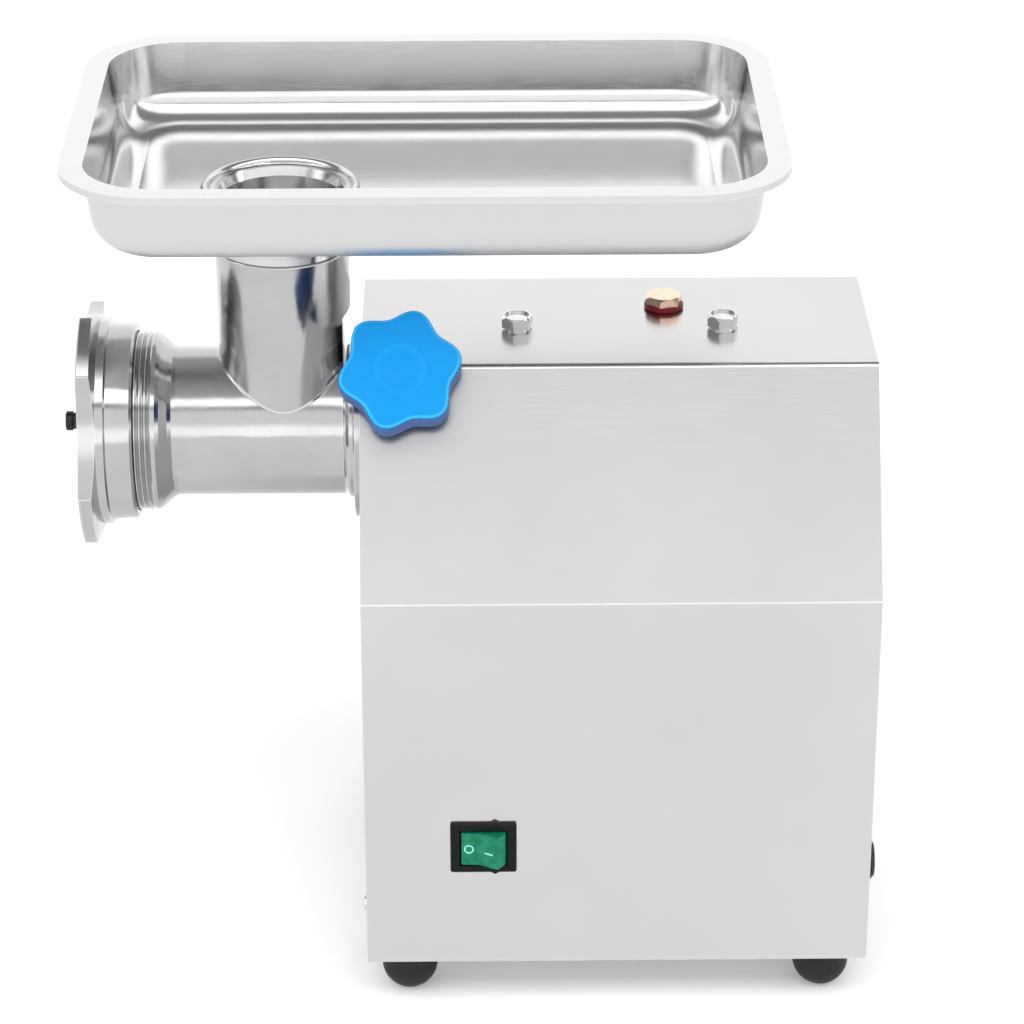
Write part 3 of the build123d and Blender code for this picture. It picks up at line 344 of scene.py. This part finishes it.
STEEL = (0.54, 0.54, 0.544)
CAST = (0.43, 0.43, 0.434)
TRAY_INSIDE, TRAY_OUTSIDE = (0.6, 0.6, 0.604), (0.55, 0.55, 0.554)
# The knob's front blue, the deeper blue painted on its sides as shade, and the light line painted on as
# a highlight.
BLUE_FRONT, BLUE_PAINTED_SHADE, BLUE_PAINTED_HIGHLIGHT = (0.002, 0.235, 0.58), (0.002, 0.05, 0.22), (0.03, 0.36, 0.78)
MATERIALS = {
    "panel_steel": brushed_steel("panel_steel", STEEL, 0.18, 0.25, "x"),
    "cast_steel": cast_steel("cast_steel", CAST, 0.12, 0.22),
    "tray_steel": polished_steel("tray_steel", TRAY_INSIDE, TRAY_OUTSIDE, 0.12, 0.2),
    "bolt_steel": turned_steel("bolt_steel", (0.66, 0.66, 0.67), 0.16, 0.28),
    "plug_copper": copper("plug_copper", (0.88, 0.6, 0.45), 0.12, 0.22),
    "seal_red": moulded("seal_red", (0.16, 0.007, 0.014), 0.3, 0.42),
    "knob_blue": knob_with_painted_light("knob_blue", BLUE_FRONT, BLUE_PAINTED_SHADE, BLUE_PAINTED_HIGHLIGHT),
    "rubber_black": moulded("rubber_black", (0.013, 0.013, 0.014), 0.42, 0.58, 0.25),
    "switch_black": moulded("switch_black", (0.007, 0.007, 0.008), 0.3, 0.42, 0.12, specular=0.1),
    "switch_green": translucent_green("switch_green"),
    "contact_brass": copper("contact_brass", (0.8, 0.6, 0.28), 0.2, 0.32),
    "stud_black": turned_steel("stud_black", (0.035, 0.035, 0.038), 0.3, 0.45),
    "housing_cast": cast_steel("housing_cast", (0.5, 0.51, 0.52), 0.42, 0.6, 0.3, 0.9),
    "machined_steel": turned_steel("machined_steel", (0.58, 0.58, 0.59), 0.18, 0.32),
    "gasket_fibre": moulded("gasket_fibre", (0.09, 0.14, 0.12), 0.75, 0.9, 0.6),
    "seal_rubber": moulded("seal_rubber", (0.07, 0.028, 0.018), 0.45, 0.6, 0.2),
    "lamination_steel": turned_steel("lamination_steel", (0.2, 0.21, 0.23), 0.4, 0.6),
    "winding_copper": copper("winding_copper", (0.72, 0.3, 0.13), 0.25, 0.42),
    "fan_plastic": moulded("fan_plastic", (0.02, 0.02, 0.022), 0.4, 0.55, 0.2),
    "part_white": moulded("part_white", (0.68, 0.67, 0.63), 0.4, 0.55, 0.12),
}


def finish_nodes():
    """Each CAD node gets the finish of its own material slot."""
    for node in NODES.values():
        for place in node.material_slots:
            name = place.material.name.split(".")[0]
            place.material = MATERIALS[name]


# ---------------------------------------------------------------- marks on the switch


def rocker_point(along, up, lift):
    """A point on the rocker's front: along it from the valley, up, and lift off its surface."""
    side = -1.0 if along < 0 else 1.0
    rise = CREST_OUT - VALLEY_OUT
    length = math.hypot(CREST_ALONG, rise)
    x = along - side * rise / length * lift
    y = -VALLEY_OUT - rise / CREST_ALONG * abs(along) - CREST_ALONG / length * lift
    turned_x = x * math.cos(ROCKER_TILT) + y * math.sin(ROCKER_TILT)
    turned_y = y * math.cos(ROCKER_TILT) - x * math.sin(ROCKER_TILT)
    return ROCKER_PIVOT[0] + turned_x, ROCKER_PIVOT[1] + turned_y, ROCKER_PIVOT[2] + up


def printed_mark(name, outer, inner=None):
    """A thin raised print on the rocker, between closed outlines of (along, up) points."""
    count = len(outer)
    loops = [outer] if inner is None else [outer, inner]
    points = [rocker_point(a, u, lift) for lift in (0.0, MARK_THICK) for loop in loops for a, u in loop]
    step = count * len(loops)
    faces = []
    for loop in range(len(loops)):
        for i in range(count):
            j = (i + 1) % count
            a, b = loop * count + i, loop * count + j
            wall = (a, b, b + step, a + step)
            faces.append(wall if loop == 0 else wall[::-1])
    if inner is None:
        faces += [tuple(range(step, 2 * step)), tuple(reversed(range(step)))]
    else:
        for i in range(count):
            j = (i + 1) % count
            faces.append((step + i, step + j, step + count + j, step + count + i))
            faces.append((j, i, count + i, count + j))
    mesh = bpy.data.meshes.new(name)
    mesh.from_pydata(points, [], faces)
    mesh.validate()
    mesh.materials.append(MARK_PAINT)
    mark = bpy.data.objects.new(name, mesh)
    bpy.context.scene.collection.objects.link(mark)
    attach(mark, "rocker")


def circle(centre, radius, count=40):
    """Points (along, up) round a circle."""
    turns = [2.0 * math.pi * i / count for i in range(count)]
    return [(centre + radius * math.cos(a), radius * math.sin(a)) for a in turns]


def round_bar(centre, up, half_length, half_width, steps=8):
    """Points (along, up) round a bar with round ends, its middle at (centre, up)."""
    points = []
    for side, start in ((1.0, -0.5 * math.pi), (-1.0, 0.5 * math.pi)):
        for i in range(steps + 1):
            a = start + math.pi * i / steps
            reach = side * (half_length - half_width)
            points.append((centre + reach + half_width * math.cos(a), up + half_width * math.sin(a)))
    return points


MARK_PAINT = moulded("mark_paint", (0.24, 0.62, 0.52), 0.35, 0.5, 0.1, 0.9)


def switch_marks():
    """The O on the rocker's left half and the I, lying on its side, on its right half."""
    printed_mark("mark_off", circle(RING_ALONG, RING_OUTER), circle(RING_ALONG, RING_INNER))
    printed_mark("mark_on", round_bar(BAR_ALONG, BAR_UP, BAR_HALF_LENGTH, BAR_HALF_WIDTH))


# ---------------------------------------------------------------- studio


def plain_floor():
    """The pale floor: one wide sheet, a hair under the feet."""
    mesh = bpy.data.meshes.new("studio_floor")
    r = FLOOR_REACH
    corners = [(-r, -r, FLOOR_Z), (r, -r, FLOOR_Z), (r, r, FLOOR_Z), (-r, r, FLOOR_Z)]
    mesh.from_pydata(corners, [], [(0, 1, 2, 3)])
    made, tree, shader = new_material("studio_floor", (0.8, 0.8, 0.8), 0.0, 0.7)
    shader.inputs["Specular IOR Level"].default_value = 0.2
    shader.inputs["Emission Color"].default_value = (1.0, 1.0, 1.0, 1.0)
    shader.inputs["Emission Strength"].default_value = FLOOR_GLOW
    mesh.materials.append(made)
    floor = bpy.data.objects.new("studio_floor", mesh)
    bpy.context.scene.collection.objects.link(floor)


# Brightness of the studio's dome from the front horizon (0) over the top (0.5) to the back
# horizon (1), as (share of the half turn, brightness).
DOME = (
    (0.0, 2.2), (0.06, 2.2), (0.10, 1.4), (0.205, 1.4), (0.22, 0.5), (0.24, 0.5),
    (0.255, 3.0), (0.37, 3.0), (0.47, 0.35), (0.70, 0.3), (0.75, 1.45), (1.0, 1.45),
)
DOME_TOP = 3.0


def studio_dome():
    """A soft studio dome with long horizontal panels, brighter and darker, parallel to x."""
    world = bpy.data.worlds.new("studio_dome")
    bpy.context.scene.world = world
    world.use_nodes = True
    tree = world.node_tree
    place = tree.nodes.new("ShaderNodeTexCoord")
    parts = tree.nodes.new("ShaderNodeSeparateXYZ")
    back = tree.nodes.new("ShaderNodeMath")
    back.operation = "MULTIPLY"
    back.inputs[1].default_value = -1.0
    angle = tree.nodes.new("ShaderNodeMath")
    angle.operation = "ARCTAN2"
    share = tree.nodes.new("ShaderNodeMath")
    share.operation = "DIVIDE"
    share.inputs[1].default_value = math.pi
    ramp = tree.nodes.new("ShaderNodeValToRGB")
    while len(ramp.color_ramp.elements) < len(DOME):
        ramp.color_ramp.elements.new(0.5)
    for element, (at, level) in zip(ramp.color_ramp.elements, DOME):
        element.position = at
        element.color = (level / DOME_TOP, level / DOME_TOP, level / DOME_TOP, 1.0)
    tree.links.new(place.outputs["Generated"], parts.inputs["Vector"])
    tree.links.new(parts.outputs["Y"], back.inputs[0])
    tree.links.new(parts.outputs["Z"], angle.inputs[0])
    tree.links.new(back.outputs[0], angle.inputs[1])
    tree.links.new(angle.outputs[0], share.inputs[0])
    tree.links.new(share.outputs[0], ramp.inputs["Fac"])
    shade = tree.nodes["Background"]
    shade.inputs["Strength"].default_value = DOME_TOP
    tree.links.new(ramp.outputs["Color"], shade.inputs["Color"])


def soft_light(name, place, target, size, watts):
    """A large soft panel that lights the scene without showing in the polished steel."""
    data = bpy.data.lights.new(name, "AREA")
    data.shape = "RECTANGLE"
    data.size = size
    data.size_y = size
    data.energy = watts
    light = bpy.data.objects.new(name, data)
    light.location = place
    light.rotation_euler = (Vector(target) - Vector(place)).to_track_quat("-Z", "Y").to_euler()
    light.visible_glossy = False
    bpy.context.scene.collection.objects.link(light)


def studio_camera():
    """The camera, at the photograph's viewing angle."""
    cos_pitch = math.cos(CAMERA_PITCH)
    ahead = (math.sin(CAMERA_YAW) * cos_pitch, math.cos(CAMERA_YAW) * cos_pitch)
    forward = Vector((*ahead, -math.sin(CAMERA_PITCH)))
    level = Vector((math.cos(CAMERA_YAW), -math.sin(CAMERA_YAW), 0.0))
    upright = level.cross(forward)
    right = math.cos(CAMERA_ROLL) * level + math.sin(CAMERA_ROLL) * upright
    up = -math.sin(CAMERA_ROLL) * level + math.cos(CAMERA_ROLL) * upright
    data = bpy.data.cameras.new("studio_camera")
    data.lens = CAMERA_LENS
    data.sensor_width = CAMERA_SENSOR
    data.clip_end = 60.0
    camera = bpy.data.objects.new("studio_camera", data)
    turn = Matrix((right, up, -forward)).transposed().to_4x4()
    camera.matrix_world = Matrix.Translation(CAMERA_PLACE) @ turn
    bpy.context.scene.collection.objects.link(camera)
    bpy.context.scene.camera = camera


finish_nodes()
switch_marks()
plain_floor()
studio_dome()
soft_light("overhead_panel", PANEL_PLACE, PANEL_TARGET, PANEL_SIZE, PANEL_WATTS)
studio_camera()
bpy.context.scene.view_settings.view_transform = "Standard"
